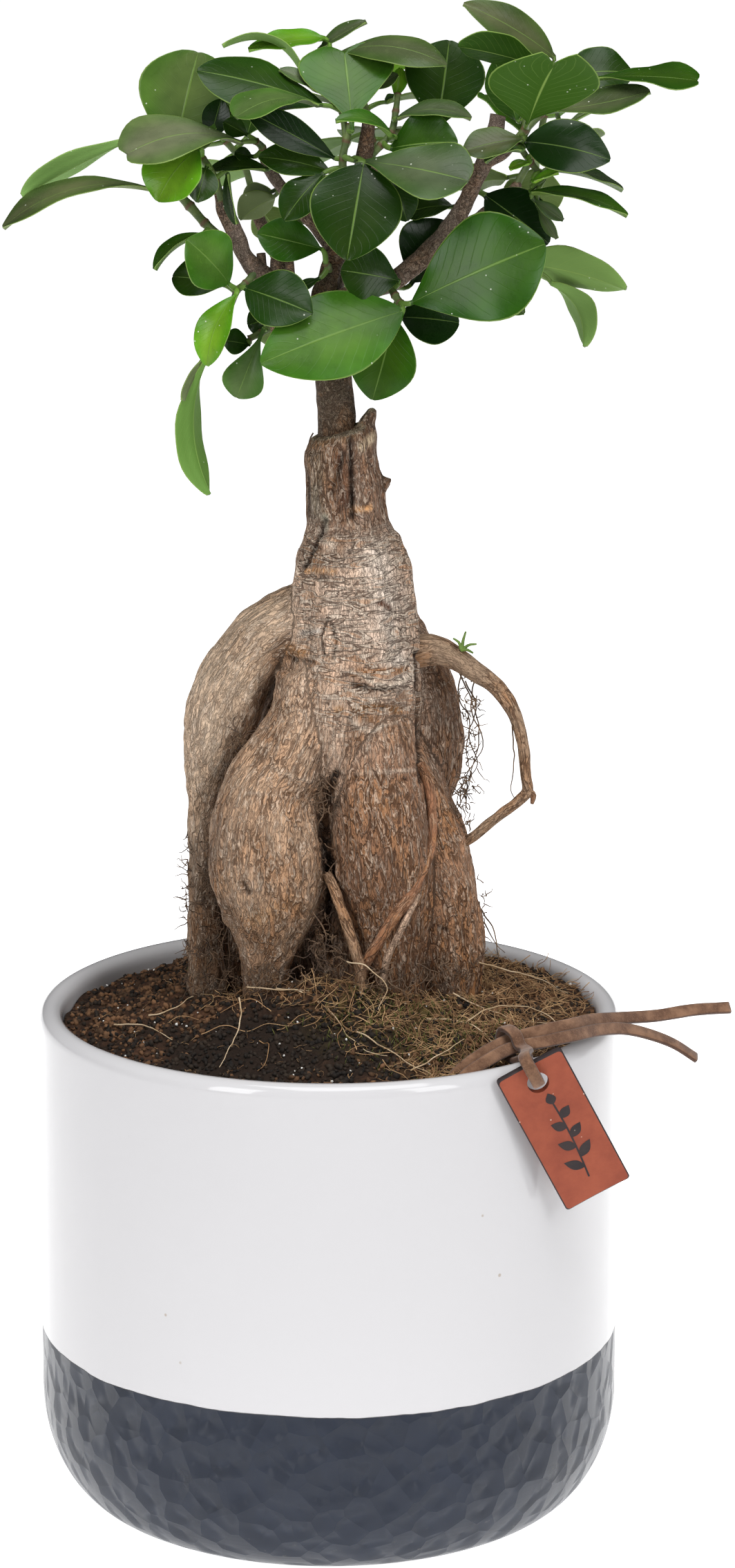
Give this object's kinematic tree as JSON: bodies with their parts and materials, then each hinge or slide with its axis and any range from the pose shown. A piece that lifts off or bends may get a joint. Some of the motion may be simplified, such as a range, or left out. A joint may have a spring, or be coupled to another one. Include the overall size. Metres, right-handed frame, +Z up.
{
  "type": "ficus ginseng bonsai in a glazed pot",
  "caption": "Grafted ficus bonsai with swollen bare roots and a low leafy crown, planted in a round glazed pot with a tied lace and a small tag.",
  "frame": {"origin": "middle of the pot's flat foot, on the surface that it stands on", "axes": "+Z up along the pot's axis, -Y the front of the plant, +X to the right as seen from the front"},
  "size_m": [0.1729, 0.1412, 0.3632],
  "materials": {
    "pot": "glossy white glaze over a satin slate-blue foot band",
    "soil": "rough peat with coir fibres",
    "trunk": "ridged peeling bark",
    "leaves": "waxy, semi-gloss",
    "lace": "brushed suede",
    "tag": "matt dyed leather with a dark cut edge"
  },
  "bodies": {
    "root": {"pot": "pot", "soil": "soil", "trunk": "trunk", "leaves_left_outer": "leaves", "leaves_left_end": "leaves", "leaves_left_middle": "leaves", "leaves_centre": "leaves", "leaves_centre_right": "leaves", "leaves_low_centre": "leaves", "leaves_right_middle": "leaves", "leaves_right_end": "leaves", "leaves_right_under": "leaves", "leaves_stem": "leaves", "leaves_left_low": "leaves", "leaves_left_under": "leaves", "leaves_back_centre": "leaves", "leaves_back_left": "leaves", "leaves_back_right": "leaves", "leaves_back_low": "leaves", "lace_back": "lace", "lace_front": "lace", "lace_tie": "lace", "tag": "tag"}
  },
  "joints": []
}
